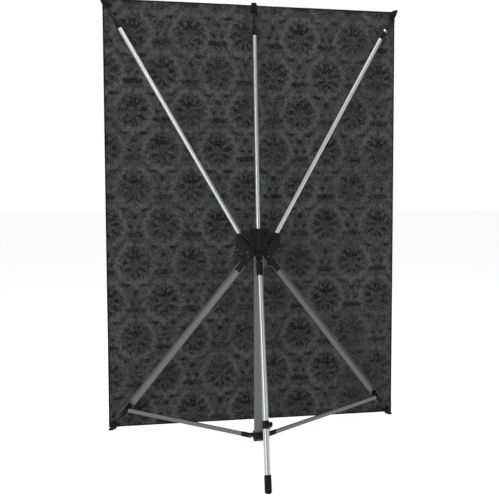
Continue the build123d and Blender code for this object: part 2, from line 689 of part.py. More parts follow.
def rear_bosses():
    """Ribs on the rear face: an upright one, and one down from each arm seat."""
    upright = Pos(0, HUB_BODY_BACK - RIB_R / 3, 0) * round_bar(RIB_R, HUB_LOW, HUB_TOP)
    run = BOSS_FOOT - BOSS_TOP
    slant = Plane(origin=BOSS_TOP, z_dir=run).location * round_bar(BOSS_R, 0, run.length)
    return Pos(0, HUB_BACK, HUB_HEIGHT) * (upright + slant + mirrored(slant))


def hub_block():
    depth = HUB_BODY_BACK - HUB_BODY_FRONT
    body = soft_edges(bar(2 * HUB_BODY_X, depth, HUB_LOW, HUB_TOP), 8)
    body = Pos(0, HUB_BODY_BACK - depth / 2, 0) * body
    left_wing = wing(ARM_AZIMUTH)
    left_ears = leg_ears(LEG_AZIMUTH)
    block = Pos(0, HUB_BACK, HUB_HEIGHT) * body + left_wing + mirrored(left_wing) + rear_bosses()
    block = block + left_ears + mirrored(left_ears) + leg_ears(90)
    for cut in (arm_slot(), wing_pocket(), tongue_room(LEG_AZIMUTH, LEG_SPREAD)):
        block = block - cut - mirrored(cut)
    column = bar(COLUMN_WIDTH, COLUMN_DEPTH, 0, HUB_HEIGHT + COLUMN_TOP)
    centre = round_bar(ARM_DIA / 2, 0, CENTRE_LENGTH)
    block = block - tongue_room(90, REAR_SPREAD) - CENTRE_FRAME * centre
    block = block - Pos(0, HUB_BACK, 0) * column
    for pin in arm_pins() + leg_pins():
        block = block - pin
    for place in SCREW_PLACES:
        for cut in (screw(place), screw_well(place)):
            block = block - cut - mirrored(cut)
    return block


def hub_pieces():
    block = hub_block()
    rear_zone = behind_parting()
    screws = [screw(place) for place in SCREW_PLACES]
    return {
        "hub_rear_shell": block & rear_zone,
        "hub_front_shell": block - rear_zone,
        "hub_screws": Compound(children=screws + [mirrored(s) for s in screws]),
        "arm_pivot_pins": Compound(children=arm_pins()),
        "leg_pivot_pins": Compound(children=leg_pins()),
    }


# ---- cloth ----
def cloth():
    return Pos(0, -CLOTH_THICK / 2, 0) * bar(CLOTH_WIDTH, CLOTH_THICK, CLOTH_GAP, CLOTH_TOP)


def cloth_tabs():
    """Doubled patches sewn on the back, where the five tips bear."""
    x = (CLOTH_WIDTH - TAB_SIDE) / 2
    high = CLOTH_TOP - TAB_SIDE / 2
    low = CLOTH_GAP + TAB_SIDE / 2
    tab = Box(TAB_SIDE, TAB_THICK, TAB_SIDE)
    places = [(x, high), (-x, high), (0, high), (x, low), (-x, low)]
    return Compound(children=[Pos(px, TAB_THICK / 2, pz) * tab for px, pz in places])


# ---- assembly ----
def all_pieces():
    pieces = hub_pieces()
    pieces["column_channel"] = column_channel()
    pieces["column_cap"] = column_cap()
    pieces["runner"] = runner()
    pieces["runner_pins"] = runner_pins()
    pieces |= arm_pieces("arm_centre", CENTRE_FRAME, CENTRE_LENGTH, 0, False)
    pieces |= arm_pieces("arm_left", ARM_FRAME, ARM_LENGTH, ARM_TUBE_START, False)
    pieces["arm_left_knuckle"] = ARM_FRAME * arm_knuckle()
    right_arm = arm_pieces("arm_right", ARM_FRAME, ARM_LENGTH, ARM_TUBE_START, True)
    right_arm["arm_right_knuckle"] = ARM_FRAME * arm_knuckle()
    right_leg = leg_pieces("right")
    right_brace = brace_pieces("right", LEG_AZIMUTH, SIDE_JOINT, LEG_SPREAD, SIDE_OFFSET)
    pieces |= {name: mirrored(shape) for name, shape in (right_arm | right_leg | right_brace).items()}
    pieces |= leg_pieces("left")
    pieces |= rear_leg_pieces()
    pieces |= brace_pieces("left", LEG_AZIMUTH, SIDE_JOINT, LEG_SPREAD, SIDE_OFFSET)
    pieces |= brace_pieces("rear", 90, REAR_JOINT, REAR_SPREAD, REAR_OFFSET)
    pieces["cloth"] = cloth()
    pieces["cloth_tabs"] = cloth_tabs()
    return pieces


def to_origin(pieces):
    """Shift that puts the origin at the middle of the bounding box's bottom."""
    boxes = [shape.bounding_box() for shape in pieces.values()]
    low_y = min(box.min.Y for box in boxes)
    high_y = max(box.max.Y for box in boxes)
    low_x = min(box.min.X for box in boxes)
    high_x = max(box.max.X for box in boxes)
    return Pos(-(low_x + high_x) / 2, -(low_y + high_y) / 2, 0)


PIECES = all_pieces()
ORIGIN_SHIFT = to_origin(PIECES)

os.makedirs("parts", exist_ok=True)
for name, shape in PIECES.items():
    export_step(ORIGIN_SHIFT * shape, f"parts/{name}.step")
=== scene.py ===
"""Looks of the folding backdrop stand: its cloth, its materials, the light and the camera."""
import json
from math import atan2, cos, exp, hypot, pi, radians, sin

import bpy
import numpy as np
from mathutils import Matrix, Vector, noise


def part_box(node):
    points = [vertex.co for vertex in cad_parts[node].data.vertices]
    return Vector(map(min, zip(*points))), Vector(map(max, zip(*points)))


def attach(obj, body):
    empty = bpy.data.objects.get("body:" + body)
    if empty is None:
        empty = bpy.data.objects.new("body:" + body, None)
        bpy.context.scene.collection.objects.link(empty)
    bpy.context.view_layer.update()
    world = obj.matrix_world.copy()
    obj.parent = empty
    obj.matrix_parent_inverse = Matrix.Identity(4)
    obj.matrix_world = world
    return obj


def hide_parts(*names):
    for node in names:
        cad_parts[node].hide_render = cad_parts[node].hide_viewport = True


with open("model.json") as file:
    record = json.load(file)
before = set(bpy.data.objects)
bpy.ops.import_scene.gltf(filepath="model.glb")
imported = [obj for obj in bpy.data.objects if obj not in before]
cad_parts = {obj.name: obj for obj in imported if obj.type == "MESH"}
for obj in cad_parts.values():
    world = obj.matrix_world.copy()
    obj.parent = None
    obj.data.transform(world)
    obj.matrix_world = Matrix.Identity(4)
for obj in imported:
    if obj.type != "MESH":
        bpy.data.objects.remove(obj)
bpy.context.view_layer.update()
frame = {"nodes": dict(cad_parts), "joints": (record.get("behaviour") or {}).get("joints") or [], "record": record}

NODES = frame["nodes"]
MM = 0.001

# ---- the cloth's plane and what holds it ----
CLOTH_LOW, CLOTH_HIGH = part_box("cloth")
TAB_LOW, TAB_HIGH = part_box("cloth_tabs")
CLOTH_BACK = CLOTH_HIGH.y
CLOTH_MIDDLE = (CLOTH_LOW.y + CLOTH_HIGH.y) / 2
CLOTH_CENTRE_Z = (CLOTH_LOW.z + CLOTH_HIGH.z) / 2
HALF_WIDTH = (CLOTH_HIGH.x - CLOTH_LOW.x) / 2
HALF_HEIGHT = (CLOTH_HIGH.z - CLOTH_LOW.z) / 2
CLOTH_THICK = CLOTH_HIGH.y - CLOTH_LOW.y
ANCHORS = [
    (HALF_WIDTH, CLOTH_HIGH.z),
    (-HALF_WIDTH, CLOTH_HIGH.z),
    (0.0, CLOTH_HIGH.z),
    (HALF_WIDTH, CLOTH_LOW.z),
    (-HALF_WIDTH, CLOTH_LOW.z),
]

# ---- cloth details ----
GRID_STEP = 15 * MM
FOLD_HEIGHT = 2.4 * MM       # of the folds that fan out of a held corner
FOLD_REACH = 0.30
FOLD_FREE = 60 * MM          # flat round the anchor itself
FOLD_COUNT = 15
SWELL = 3.5 * MM
HEM_DARK = 9 * MM            # the edge's dark line
STITCH_INSET = 18 * MM
STITCH_LENGTH = 3.4 * MM
STITCH_PITCH = 5.0 * MM
STITCH_HALF = 0.35 * MM
STITCH_ARC = [(0.0, 0.9), (0.25, 1.35), (0.75, 1.35), (1.0, 0.9)]  # share of the stitch, height in mm
HEM_STEP = 20 * MM
HEM_PROFILE = [              # (inset from the edge, height over the middle), in mm
    (22, 0.55), (21.6, 1.0), (19.5, 1.25), (18, 0.95), (16.5, 1.25), (8, 1.4), (1.5, 1.3), (-0.7, 0.8),
]
PATCH_SIDE = 58 * MM
PATCH_THICK = 1.5 * MM
PATCH_ROUND = 7 * MM
PATCH_PROFILE = [            # (inset from the edge in mm, share of the thickness)
    (0.0, 0.0), (0.0, 0.7), (1.0, 1.0), (4.0, 1.05), (5.0, 0.6), (6.0, 1.0), (12.0, 1.1),
]
POCKET_THICK = 1.2 * MM
POCKET_ROOM = 1.5 * MM       # between the pocket and what it holds
POCKET_LENGTH = 48 * MM
LOOP_START = 16 * MM         # a lower loop, along the leg from the floor
LOOP_END = 44 * MM
LOOP_HALF = 17 * MM
FOOT_RADIUS = 11 * MM
TIP_FLANGE_RADIUS = 7 * MM
PULL_HALF = 9 * MM           # half width of a top corner's pull tab

# ---- print on the cloth ----
PITCH_X = 0.279              # one medallion to the next in a row
PITCH_Z = 0.383              # two half-drop rows
PRINT_SHIFT_X = 0.347
PRINT_SHIFT_Z = 0.301
WREATH_X = 0.090             # half width of the scalloped wreath round a medallion
WREATH_Z = 0.098
WREATH_POINT = 3.2           # how fast its upper half narrows
SCALLOPS = 14
SCALLOP_DEPTH = 0.07
LACE_SCALE = 58.0
# How much each part of the print lightens or darkens the ground, from 0 dark to 1 light.
GROUND = 0.36
RIM_TONE = 0.40
INSIDE_TONE = -0.12
LIGHT_TONE = 0.30
DARK_TONE = -0.46
LACE_TONE = 0.16
MOTTLE_TONE = 1.0
GRAIN_TONE = 1.7
PRINT_WOBBLE = 0.030         # metres
CLOTH_DARKEST = 0.002
CLOTH_LIGHTEST = 0.080
# Dark blots: x and z of the middle, half width, half height, in metres.
BLOTS = [
    (0.119, -0.010, 0.011, 0.010),
    (0.1395, -0.050, 0.058, 0.015),
    (0.0, 0.1415, 0.058, 0.015),
    (0.1395, -0.084, 0.018, 0.014),
    (0.0, 0.1075, 0.018, 0.014),
    (0.052, -0.116, 0.028, 0.012),
    (0.094, 0.080, 0.024, 0.012),
    (0.0, -0.148, 0.014, 0.018),
    (0.0, 0.026, 0.040, 0.014),
]
# Halves of a medallion's leaves: x, z, angle in degrees, length, width and bend, in metres.
DARK_LEAVES = [
    (0.006, 0.030, 74, 0.038, 0.010, 0.004),
    (0.024, 0.016, 44, 0.050, 0.010, 0.008),
    (0.026, -0.012, 14, 0.046, 0.012, 0.008),
    (0.010, -0.030, -32, 0.052, 0.009, 0.010),
    (0.004, -0.044, -70, 0.036, 0.008, 0.004),
    (0.084, -0.068, -20, 0.040, 0.008, -0.006),
]
LIGHT_LEAVES = [
    (0.0, 0.020, 90, 0.050, 0.004, 0.0),
    (0.014, 0.020, 58, 0.052, 0.005, 0.006),
    (0.020, -0.002, 28, 0.052, 0.004, 0.008),
    (0.014, -0.024, -8, 0.050, 0.005, 0.010),
    (0.006, -0.040, -52, 0.036, 0.005, 0.006),
    (0.0, -0.104, -90, 0.040, 0.009, 0.0),
    (0.024, -0.124, -52, 0.040, 0.007, 0.006),
    (0.0, 0.160, 90, 0.026, 0.008, 0.0),
    (0.104, 0.016, 20, 0.034, 0.007, 0.006),
    (0.108, 0.044, 64, 0.034, 0.006, -0.004),
]

# ---- camera, measured from the middle of the cloth's back on the floor ----
CAMERA_SIDE = 0.207
CAMERA_BACK = 2.8
CAMERA_HEIGHT = 1.177
CAMERA_YAW = 7.97
CAMERA_PITCH = 2.73
CAMERA_LENS = 39.1
CAMERA_SHIFT = (-0.081, -0.056)

# ---- studio light ----
BACKDROP_LEVEL = 1.0
AMBIENT_LOW = 0.12
AMBIENT_HIGH = 0.50
FLOOR_GLOW = 0.78
FLOOR_HALF = 40.0
LIGHT_AIM = (0, 0, 1.1)
# Name, place, size and power in watts of each area light.
AREA_LIGHTS = [
    ("key", (2.8, 3.4, 2.4), (2.0, 3.0), 66),
    ("fill", (-3.4, 2.6, 1.8), (1.4, 2.8), 20),
    ("front_fill", (0.8, -3.6, 2.4), (2.4, 2.0), 55),
    ("overhead", (0, 0.4, 4.2), (3.0, 3.0), 40),
]


# ---- shader building ----
class Shader:
    """A material whose nodes are added by short calls that return sockets."""

    def __init__(self, name):
        self.material = bpy.data.materials.new(name)
        self.material.use_nodes = True
        self.nodes = self.material.node_tree.nodes
        self.links = self.material.node_tree.links
        self.surface = self.nodes["Principled BSDF"]
        self.place = self.nodes.new("ShaderNodeTexCoord").outputs["Object"]

    def feed(self, socket, value):
        if isinstance(value, bpy.types.NodeSocket):
            self.links.new(value, socket)
        else:
            socket.default_value = value

    def put(self, name, value):
        self.feed(self.surface.inputs[name], value)

    def math(self, operation, *values):
        node = self.nodes.new("ShaderNodeMath")
        node.operation = operation
        for socket, value in zip(node.inputs, values):
            self.feed(socket, value)
        return node.outputs[0]

    def total(self, *values):
        result = values[0]
        for value in values[1:]:
            result = self.math("ADD", result, value)
        return result

    def times(self, a, b):
        return self.math("MULTIPLY", a, b)

    def step(self, value, low, high):
        """0 below low, 1 above high, smooth between; low may be the larger one."""
        node = self.nodes.new("ShaderNodeMapRange")
        node.interpolation_type = "SMOOTHSTEP"
        self.feed(node.inputs["Value"], value)
        node.inputs["From Min"].default_value = low
        node.inputs["From Max"].default_value = high
        return node.outputs["Result"]

    def split(self, vector):
        node = self.nodes.new("ShaderNodeSeparateXYZ")
        self.feed(node.inputs[0], vector)
        return node.outputs

    def map(self, vector, scale=(1, 1, 1), rotation=(0, 0, 0)):
        node = self.nodes.new("ShaderNodeMapping")
        self.feed(node.inputs["Vector"], vector)
        node.inputs["Scale"].default_value = scale
        node.inputs["Rotation"].default_value = rotation
        return node.outputs[0]

    def noise(self, scale, detail=3.0, roughness=0.5, vector=None):
        node = self.nodes.new("ShaderNodeTexNoise")
        self.feed(node.inputs["Vector"], vector or self.place)
        node.inputs["Scale"].default_value = scale
        node.inputs["Detail"].default_value = detail
        node.inputs["Roughness"].default_value = roughness
        return node.outputs["Fac"]

    def cells(self, scale, feature="F1"):
        node = self.nodes.new("ShaderNodeTexVoronoi")
        node.feature = feature
        self.feed(node.inputs["Vector"], self.place)
        node.inputs["Scale"].default_value = scale
        return node.outputs["Distance"]

    def mix(self, factor, first, second):
        node = self.nodes.new("ShaderNodeMix")
        node.data_type = "RGBA"
        self.feed(node.inputs["Factor"], factor)
        rgba = [s for s in node.inputs if s.type == "RGBA"]
        for socket, colour in zip(rgba, (first, second)):
            self.feed(socket, colour if isinstance(colour, bpy.types.NodeSocket) else (*colour, 1))
        return [s for s in node.outputs if s.type == "RGBA"][0]

    def bump(self, height, distance, strength=1.0):
        node = self.nodes.new("ShaderNodeBump")
        self.feed(node.inputs["Height"], height)
        node.inputs["Distance"].default_value = distance
        node.inputs["Strength"].default_value = strength
        self.put("Normal", node.outputs[0])


def grey(level, warm=0.0):
    return (level * (1 + warm), level, level * (1 - warm))


# ---- fabric ----
def thread_height(shader, pitch):
    """Plain weave: threads along X and Z that pass over and under each other."""
    x, _, z = shader.split(shader.place)
    across = shader.math("SINE", shader.times(x, 2 * pi / pitch))
    along = shader.math("SINE", shader.times(z, 2 * pi / pitch))
    return shader.times(across, along)


def leaf(shader, x, z, shape):
    """1 inside a bent leaf that starts at a point and runs at an angle."""
    x0, z0, angle, length, width, bend = shape
    turn = radians(angle)
    dx, dz = shader.math("SUBTRACT", x, x0), shader.math("SUBTRACT", z, z0)
    run = shader.total(shader.times(dx, cos(turn) / length), shader.times(dz, sin(turn) / length))
    side = shader.total(shader.times(dx, -sin(turn)), shader.times(dz, cos(turn)))
    arch = shader.times(run, shader.math("SUBTRACT", 1.0, run))
    off = shader.math("ABSOLUTE", shader.math("MULTIPLY_ADD", arch, -4 * bend, side))
    room = shader.math("SUBTRACT", shader.times(arch, 4 * width), off)
    return shader.step(room, 0.0, 0.003)


def leaves(shader, x, z, shapes):
    result = leaf(shader, x, z, shapes[0])
    for shape in shapes[1:]:
        result = shader.math("MAXIMUM", result, leaf(shader, x, z, shape))
    return result


def medallion_place(shader):
    """Place within the nearest medallion of a half-drop repeat, in metres; x is folded."""
    x, _, z = shader.split(shader.place)
    u = shader.math("MULTIPLY_ADD", x, 1 / PITCH_X, PRINT_SHIFT_X)
    v = shader.math("MULTIPLY_ADD", z, 1 / PITCH_Z, PRINT_SHIFT_Z)
    cells = []
    for shift in (0.0, 0.5):
        cells.append([
            shader.math("SUBTRACT", shader.math("FRACT", shader.math("ADD", c, shift)), 0.5)
            for c in (u, v)
        ])
    (ua, va), (ub, vb) = cells
    far = shader.total(shader.math("ABSOLUTE", ua), shader.math("ABSOLUTE", va))
    first = shader.math("LESS_THAN", far, 0.5)
    pick = [
        shader.math("MULTIPLY_ADD", shader.math("SUBTRACT", a, b), first, b)
        for a, b in ((ua, ub), (va, vb))
    ]
    return shader.math("ABSOLUTE", shader.times(pick[0], PITCH_X)), shader.times(pick[1], PITCH_Z)


def hypot_of(shader, a, b):
    return shader.math("SQRT", shader.total(shader.times(a, a), shader.times(b, b)))


def wreath_reach(shader, x, z):
    """0 at a medallion's middle, 1 on its scalloped and pointed wreath."""
    narrow = shader.math("MULTIPLY_ADD", shader.math("MAXIMUM", z, 0.0), WREATH_POINT, 1.0)
    across = shader.times(shader.times(x, narrow), 1 / WREATH_X)
    reach = hypot_of(shader, across, shader.times(z, 1 / WREATH_Z))
    turn = shader.math("ARCTAN2", z, x)
    wave = shader.math("COSINE", shader.times(turn, SCALLOPS))
    return shader.total(reach, shader.times(wave, SCALLOP_DEPTH))


def blots(shader, x, z):
    result = 0.0
    for x0, z0, half_x, half_z in BLOTS:
        dx = shader.math("DIVIDE", shader.math("SUBTRACT", x, x0), half_x)
        dz = shader.math("DIVIDE", shader.math("SUBTRACT", z, z0), half_z)
        result = shader.math("MAXIMUM", result, shader.step(hypot_of(shader, dx, dz), 1.15, 0.6))
    return result


def damask_tone(shader):
    """Ground, wreath, medallion, leaves and blots of a worn half-drop damask, 0 dark to 1 light."""
    x, z = medallion_place(shader)
    wobble = shader.math("MULTIPLY_ADD", shader.noise(52.0, 4.0, 0.65), PRINT_WOBBLE, -PRINT_WOBBLE / 2)
    x, z = shader.math("ADD", x, wobble), shader.math("SUBTRACT", z, wobble)
    reach = wreath_reach(shader, x, z)
    rim = shader.step(shader.math("ABSOLUTE", shader.math("SUBTRACT", reach, 1.04)), 0.20, 0.05)
    inside = shader.step(reach, 0.92, 0.76)
    light = leaves(shader, x, z, LIGHT_LEAVES)
    petals = shader.times(leaves(shader, x, z, DARK_LEAVES), 0.8)
    dark = shader.math("MAXIMUM", petals, blots(shader, x, z))
    lace = shader.step(shader.cells(LACE_SCALE, "DISTANCE_TO_EDGE"), 0.20, 0.04)
    worn = shader.math("MULTIPLY_ADD", shader.step(shader.noise(5.0, 4.0, 0.62), 0.34, 0.62), 0.65, 0.35)
    flecks = shader.math("MULTIPLY_ADD", shader.step(shader.noise(95.0, 3.0, 0.6), 0.38, 0.58), 0.6, 0.4)
    mottle = shader.math("SUBTRACT", shader.noise(34.0, 6.0, 0.75), 0.5)
    grain = shader.math("SUBTRACT", shader.noise(170.0, 3.0, 0.65), 0.5)
    figure = shader.total(
        shader.times(rim, RIM_TONE),
        shader.times(inside, INSIDE_TONE),
        shader.times(light, LIGHT_TONE),
        shader.times(dark, DARK_TONE),
        shader.times(lace, LACE_TONE),
    )
    rough = shader.total(shader.times(mottle, MOTTLE_TONE), shader.times(grain, GRAIN_TONE))
    return shader.total(GROUND, shader.times(shader.times(figure, worn), flecks), rough)


def printed_cloth():
    """Charcoal woven polyester with a worn half-drop damask print."""
    shader = Shader("damask_cloth")
    x, _, z = shader.split(shader.place)
    past_side = shader.math("SUBTRACT", shader.math("ABSOLUTE", x), HALF_WIDTH)
    up = shader.math("SUBTRACT", z, CLOTH_CENTRE_Z)
    past_end = shader.math("SUBTRACT", shader.math("ABSOLUTE", up), HALF_HEIGHT)
    border = shader.step(shader.math("MAXIMUM", past_side, past_end), -HEM_DARK, -HEM_DARK * 0.6)
    tone = shader.step(damask_tone(shader), -0.12, 1.0)
    tone = shader.times(tone, shader.math("MULTIPLY_ADD", border, -0.8, 1.0))
    shader.put("Base Color", shader.mix(tone, grey(CLOTH_DARKEST), grey(CLOTH_LIGHTEST, -0.01)))
    shader.put("Roughness", shader.math("MULTIPLY_ADD", tone, -0.15, 0.9))
    shader.put("Sheen Weight", 0.08)
    shader.put("Sheen Roughness", 0.5)
    shader.put("Specular IOR Level", 0.2)
    relief = shader.total(thread_height(shader, 1.6 * MM), shader.times(tone, 1.5))
    shader.bump(relief, 0.25 * MM, 0.5)
    return shader.material


def webbing(name, level):
    """Black webbing in a twill, with fuzzed, slightly greyed thread crowns."""
    shader = Shader(name)
    x, _, z = shader.split(shader.place)
    slant = shader.math("SINE", shader.times(shader.total(x, z), 2 * pi / (2.2 * MM)))
    rib = shader.math("SINE", shader.times(shader.math("SUBTRACT", x, z), 2 * pi / (1.4 * MM)))
    height = shader.times(slant, rib)
    fuzz = shader.noise(420.0, 3.0)
    tone = shader.total(shader.step(height, -1.0, 1.0), shader.times(fuzz, 0.6))
    shader.put("Base Color", shader.mix(shader.times(tone, 0.6), grey(level * 0.55), grey(level * 1.8)))
    shader.put("Roughness", shader.math("MULTIPLY_ADD", fuzz, 0.2, 0.72))
    shader.put("Sheen Weight", 0.03)
    shader.put("Specular IOR Level", 0.15)
    shader.bump(shader.total(height, fuzz), 0.3 * MM, 0.7)
    return shader.material


# ---- metals and plastics ----
def axis_of(node):
    """Long direction of a CAD node's mesh."""
    points = np.array([v.co for v in NODES[node].data.vertices])
    spread = points - points.mean(axis=0)
    return Vector(np.linalg.svd(spread, full_matrices=False)[2][0])


def drawn_metal(name, node, level, roughness, streak, wear):
    """Extruded or drawn aluminium: fine streaks along the member, a few handling marks."""
    shader = Shader(name)
    turn = axis_of(node).rotation_difference(Vector((0, 0, 1))).to_euler()
    along = shader.map(shader.place, rotation=tuple(turn))
    streaks = shader.noise(1.0, 4.0, 0.6, shader.map(along, scale=(900, 900, 5)))
    bands = shader.noise(1.0, 3.0, 0.5, shader.map(along, scale=(160, 160, 1.6)))
    marks = shader.step(shader.noise(34.0, 6.0, 0.72), 0.60, 0.74)
    tone = shader.total(shader.times(streaks, 0.5), shader.times(bands, 0.5))
    colour = shader.mix(tone, grey(level * (1 - streak)), grey(level * (1 + streak), -0.012))
    shader.put("Base Color", shader.mix(shader.times(marks, wear), colour, grey(level * 0.55)))
    shader.put("Metallic", 1.0)
    uneven = shader.total(shader.times(tone, 0.16), shader.times(marks, 0.10))
    shader.put("Roughness", shader.math("ADD", uneven, roughness - 0.08))
    shader.bump(tone, 0.02 * MM, 0.3)
    return shader.material


def moulded_plastic(name, level, roughness, texture):
    """Glass-filled nylon: fine spark-eroded texture, scuffs that go grey, a little dust."""
    shader = Shader(name)
    spark = shader.noise(950.0, 2.0, 0.6)
    scuffs = shader.step(shader.noise(46.0, 7.0, 0.75), 0.58, 0.72)
    flow = shader.noise(8.0, 3.0)
    base = shader.mix(flow, grey(level * 0.8), grey(level * 1.3))
    shader.put("Base Color", shader.mix(shader.times(scuffs, 0.35), base, grey(level * 4.0)))
    uneven = shader.total(roughness - 0.1, shader.times(spark, 0.1))
    shader.put("Roughness", shader.math("ADD", uneven, shader.times(scuffs, 0.15)))
    shader.put("Specular IOR Level", 0.16)
    shader.bump(spark, texture, 0.6)
    return shader.material


def fibre_rod(node):
    """Black glass-fibre rod: wound strands along it under a thin gloss resin."""
    shader = Shader(f"fibre_{node}")
    turn = axis_of(node).rotation_difference(Vector((0, 0, 1))).to_euler()
    along = shader.map(shader.place, rotation=tuple(turn))
    strands = shader.noise(1.0, 3.0, 0.6, shader.map(along, scale=(1400, 1400, 12)))
    rub = shader.step(shader.noise(60.0, 5.0, 0.7), 0.60, 0.75)
    colour = shader.mix(strands, grey(0.002), grey(0.007))
    shader.put("Base Color", shader.mix(shader.times(rub, 0.4), colour, grey(0.03)))
    shader.put("Roughness", shader.total(shader.times(rub, 0.25), shader.times(strands, 0.12), 0.28))
    shader.put("Specular IOR Level", 0.25)
    shader.put("Coat Weight", 0.06)
    shader.put("Coat Roughness", 0.2)
    shader.bump(strands, 0.05 * MM, 0.5)
    return shader.material


def foot_rubber():
    """Matt rubber with dust in its pores, greyer near the floor."""
    shader = Shader("foot_rubber")
    pores = shader.cells(700.0)
    dust = shader.step(shader.noise(40.0, 5.0, 0.7), 0.45, 0.7)
    low = shader.step(shader.split(shader.place)[2], 0.035, 0.0)
    dusty = shader.times(dust, shader.math("MULTIPLY_ADD", low, 0.5, 0.15))
    shader.put("Base Color", shader.mix(dusty, grey(0.006), grey(0.05, 0.04)))
    shader.put("Specular IOR Level", 0.2)
    shader.put("Roughness", shader.math("MULTIPLY_ADD", dust, 0.1, 0.75))
    shader.bump(pores, 0.2 * MM, 0.4)
    return shader.material


def plated(name, level, roughness):
    """Plated or blackened metal with fine wiping lines."""
    shader = Shader(name)
    wipe = shader.noise(500.0, 4.0, 0.7)
    spots = shader.step(shader.noise(90.0, 4.0, 0.6), 0.60, 0.70)
    colour = shader.mix(wipe, grey(level * 0.85), grey(level * 1.1, 0.01))
    shader.put("Base Color", shader.mix(shader.times(spots, 0.3), colour, grey(level * 0.5)))
    shader.put("Metallic", 1.0)
    shader.put("Roughness", shader.math("MULTIPLY_ADD", wipe, 0.15, roughness))
    shader.bump(wipe, 0.04 * MM, 0.4)
    return shader.material


def dress_nodes():
    """Gives every CAD node its material, by the slot that the record names."""
    shared = {
        "ferrule_metal": plated("ferrule_plate", 0.80, 0.12),
        "steel_fastener": plated("blackened_steel", 0.07, 0.34),
        "foot_rubber": foot_rubber(),
        "black_plastic": moulded_plastic("black_nylon", 0.0045, 0.50, 0.15 * MM),
        "cloth": printed_cloth(),
        "cloth_tab": webbing("tab_webbing", 0.0045),
    }
    slots = {part["node"]: part["material_slot"] for part in frame["record"]["subparts"]}
    for name, node in NODES.items():
        slot = slots[name]
        if slot == "bright_tube":
            material = drawn_metal(f"bright_{name}", name, 0.62, 0.40, 0.04, 0.06)
        elif slot == "grey_channel":
            # Same drawn aluminium as the bright tubes at a much lower level: this grey is painted shade, for the
            # lower members that stand in shade.
            material = drawn_metal(f"grey_{name}", name, 0.17, 0.48, 0.14, 0.35)
        elif slot == "black_fibreglass":
            material = fibre_rod(name)
        else:
            material = shared[slot]
        node.data.materials.clear()
        node.data.materials.append(material)
    return shared


def soften_edges():
    """A small radius on the moulded pieces' edges, so that they catch the light."""
    for name in ("hub_rear_shell", "hub_front_shell", "runner", "column_cap"):
        bevel = NODES[name].modifiers.new("edges", "BEVEL")
        bevel.width = 0.8 * MM
        bevel.segments = 2
        bevel.limit_method = "ANGLE"
        bevel.angle_limit = radians(40)
        bevel.harden_normals = False


# ---- meshes ----
def new_piece(name, points, faces, material, body="cloth"):
    mesh = bpy.data.meshes.new(name)
    mesh.from_pydata([tuple(p) for p in points], [], faces)
    mesh.validate()
    for polygon in mesh.polygons:
        polygon.use_smooth = True
    mesh.materials.append(material)
    piece = bpy.data.objects.new(name, mesh)
    bpy.context.scene.collection.objects.link(piece)
    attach(piece, body)
    return piece


def grid_faces(rows, columns, wrap_rows=False, wrap_columns=False):
    """Quads of a rows by columns grid of points, numbered row by row."""
    faces = []
    for r in range(rows if wrap_rows else rows - 1):
        for c in range(columns if wrap_columns else columns - 1):
            r2, c2 = (r + 1) % rows, (c + 1) % columns
            faces.append((r * columns + c, r * columns + c2, r2 * columns + c2, r2 * columns + c))
    return faces


def stand_off(x, z):
    """How far the stretched cloth is off its flat plane: fans of folds and a slow swell."""
    edge = min(HALF_WIDTH - abs(x), HALF_HEIGHT - abs(z - CLOTH_CENTRE_Z))
    nearest = min(hypot(x - ax, z - az) for ax, az in ANCHORS)
    held = 1 - exp(-((nearest / FOLD_FREE) ** 2))
    folds = 0.0
    for ax, az in ANCHORS:
        reach = hypot(x - ax, z - az)
        turn = atan2(z - az, x - ax)
        folds += exp(-reach / FOLD_REACH) * cos(FOLD_COUNT * turn + 2.3 * sin(3 * turn))
    swell = noise.noise(Vector((2.3 * x, 1.7 * z, 4.0))) * (0.35 + 0.65 * min(1, edge / 0.3))
    return held * (FOLD_HEIGHT * folds + SWELL * swell)


def cloth_point(x, z, off=0.0):
    return (x, CLOTH_MIDDLE + off + stand_off(x, z), z)


def cloth_sheet(material):
    columns = round(2 * HALF_WIDTH / GRID_STEP) + 1
    rows = round(2 * HALF_HEIGHT / GRID_STEP) + 1
    points = [
        cloth_point(x, z)
        for z in np.linspace(CLOTH_LOW.z, CLOTH_HIGH.z, rows)
        for x in np.linspace(-HALF_WIDTH, HALF_WIDTH, columns)
    ]
    sheet = new_piece("cloth_sheet", points, grid_faces(rows, columns), material)
    solid = sheet.modifiers.new("thickness", "SOLIDIFY")
    solid.thickness = CLOTH_THICK
    solid.offset = 0
    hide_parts("cloth")
    return sheet


def around_edge():
    """Places round the unit square, corners included, as (u, v) from -1 to 1."""
    across = round(2 * HALF_WIDTH / HEM_STEP)
    up = round(2 * HALF_HEIGHT / HEM_STEP)
    places = [(-1 + 2 * i / across, -1) for i in range(across)]
    places += [(1, -1 + 2 * i / up) for i in range(up)]
    places += [(1 - 2 * i / across, 1) for i in range(across)]
    places += [(-1, 1 - 2 * i / up) for i in range(up)]
    return places


def cloth_hem(material):
    """Turned hem that wraps the cloth's edge, with a groove where it is stitched."""
    front = [(inset, -height) for inset, height in reversed(HEM_PROFILE)]
    profile = HEM_PROFILE + front
    places = around_edge()
    points = []
    for u, v in places:
        for inset, height in profile:
            x = u * (HALF_WIDTH - inset * MM)
            z = CLOTH_CENTRE_Z + v * (HALF_HEIGHT - inset * MM)
            points.append(cloth_point(x, z, height * MM))
    faces = grid_faces(len(places), len(profile), wrap_rows=True, wrap_columns=True)
    return new_piece("cloth_hem", points, faces, material)


